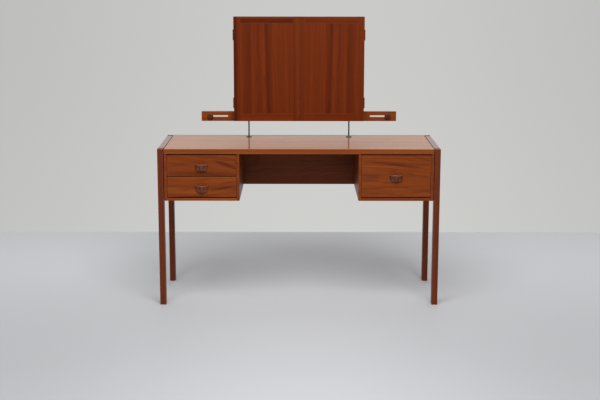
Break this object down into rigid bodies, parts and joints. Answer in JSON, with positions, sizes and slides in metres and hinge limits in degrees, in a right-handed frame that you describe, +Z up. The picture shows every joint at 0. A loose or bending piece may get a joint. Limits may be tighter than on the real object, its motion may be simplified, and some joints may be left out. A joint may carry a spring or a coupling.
{
  "type": "vanity table with mirror",
  "caption": "Teak vanity table with drawers each side of a knee space and a mirror case on two steel posts whose doors open as wing mirrors.",
  "frame": {"origin": "on the floor, at the middle of the footprint, drawer pulls included", "axes": "+X to the right of a person who sits at the table, +Y from the drawer fronts to the back, +Z up"},
  "size_m": [1.27, 0.4783, 1.291],
  "materials": {
    "solid_teak": "oiled and lacquered, satin",
    "teak_veneer": "lacquered veneer, satin",
    "dark_teak": "oiled, satin",
    "dark_spacer": "stained, matt",
    "drawer_wood": "pale hardwood, matt lacquer",
    "drawer_ply": "thin plywood, matt lacquer",
    "mirror_glass": "silvered glass",
    "steel": "brushed, slightly dulled",
    "brass": "aged brass"
  },
  "bodies": {
    "table": {"table_top": "teak_veneer", "top_lippings": "solid_teak", "left_front_leg": "solid_teak", "left_back_leg": "solid_teak", "left_end_rail": "solid_teak", "right_front_leg": "solid_teak", "right_back_leg": "solid_teak", "right_end_rail": "solid_teak", "end_frame_spacers": "dark_spacer", "left_outer_side": "teak_veneer", "left_inner_side": "teak_veneer", "left_pedestal_bottom": "teak_veneer", "right_outer_side": "teak_veneer", "right_inner_side": "teak_veneer", "right_pedestal_bottom": "teak_veneer", "pedestal_top_rails": "drawer_wood", "back_panel": "teak_veneer", "drawer_runners": "drawer_wood", "left_mirror_post": "steel", "right_mirror_post": "steel", "post_flanges": "steel", "post_nuts": "steel", "mirror_case_sides": "solid_teak", "door_magnets": "steel", "mirror_case_top": "solid_teak", "mirror_case_bottom": "solid_teak", "stop_rail_screws": "brass", "mirror_case_back": "teak_veneer", "centre_mirror": "mirror_glass", "stop_rail": "solid_teak", "case_hinge_leaves": "brass"},
    "upper_left_drawer": {"upper_left_drawer_sides": "drawer_wood", "upper_left_drawer_front": "teak_veneer", "upper_left_drawer_back": "drawer_wood", "upper_left_drawer_bottom": "drawer_ply", "upper_left_drawer_pull": "dark_teak"},
    "lower_left_drawer": {"lower_left_drawer_sides": "drawer_wood", "lower_left_drawer_front": "teak_veneer", "lower_left_drawer_back": "drawer_wood", "lower_left_drawer_bottom": "drawer_ply", "lower_left_drawer_pull": "dark_teak"},
    "right_drawer": {"right_drawer_sides": "drawer_wood", "right_drawer_front": "teak_veneer", "right_drawer_back": "drawer_wood", "right_drawer_bottom": "drawer_ply", "right_drawer_pull": "dark_teak"},
    "left_door": {"left_door_stiles": "solid_teak", "left_door_rails": "solid_teak", "left_door_panel": "teak_veneer", "left_door_mirror": "mirror_glass", "left_door_hinge_leaves": "brass"},
    "left_stop": {"left_stop_knob": "dark_teak", "left_stop_nut": "brass"},
    "right_door": {"right_door_stiles": "solid_teak", "right_door_rails": "solid_teak", "right_door_panel": "teak_veneer", "right_door_mirror": "mirror_glass", "right_door_hinge_leaves": "brass"},
    "right_stop": {"right_stop_knob": "dark_teak", "right_stop_nut": "brass"}
  },
  "joints": [
    {"name": "upper_left_drawer_slide", "type": "slide", "parent": "table", "child": "upper_left_drawer", "axis": [0, -1, 0], "range_m": [0, 0.3]},
    {"name": "lower_left_drawer_slide", "type": "slide", "parent": "table", "child": "lower_left_drawer", "axis": [0, -1, 0], "range_m": [0, 0.3]},
    {"name": "right_drawer_slide", "type": "slide", "parent": "table", "child": "right_drawer", "axis": [0, -1, 0], "range_m": [0, 0.3]},
    {"name": "left_door_hinge", "type": "hinge", "parent": "table", "child": "left_door", "pos_m": [-0.3105, 0.1622, 1.0455], "axis": [0, 0, -1], "range_deg": [0, 165]},
    {"name": "right_door_hinge", "type": "hinge", "parent": "table", "child": "right_door", "pos_m": [0.3105, 0.1622, 1.0455], "axis": [0, 0, 1], "range_deg": [0, 165]},
    {"name": "left_stop_slide", "type": "slide", "parent": "table", "child": "left_stop", "axis": [1, 0, 0], "range_m": [-0.008, 0.074]},
    {"name": "right_stop_slide", "type": "slide", "parent": "table", "child": "right_stop", "axis": [-1, 0, 0], "range_m": [-0.008, 0.074]}
  ]
}
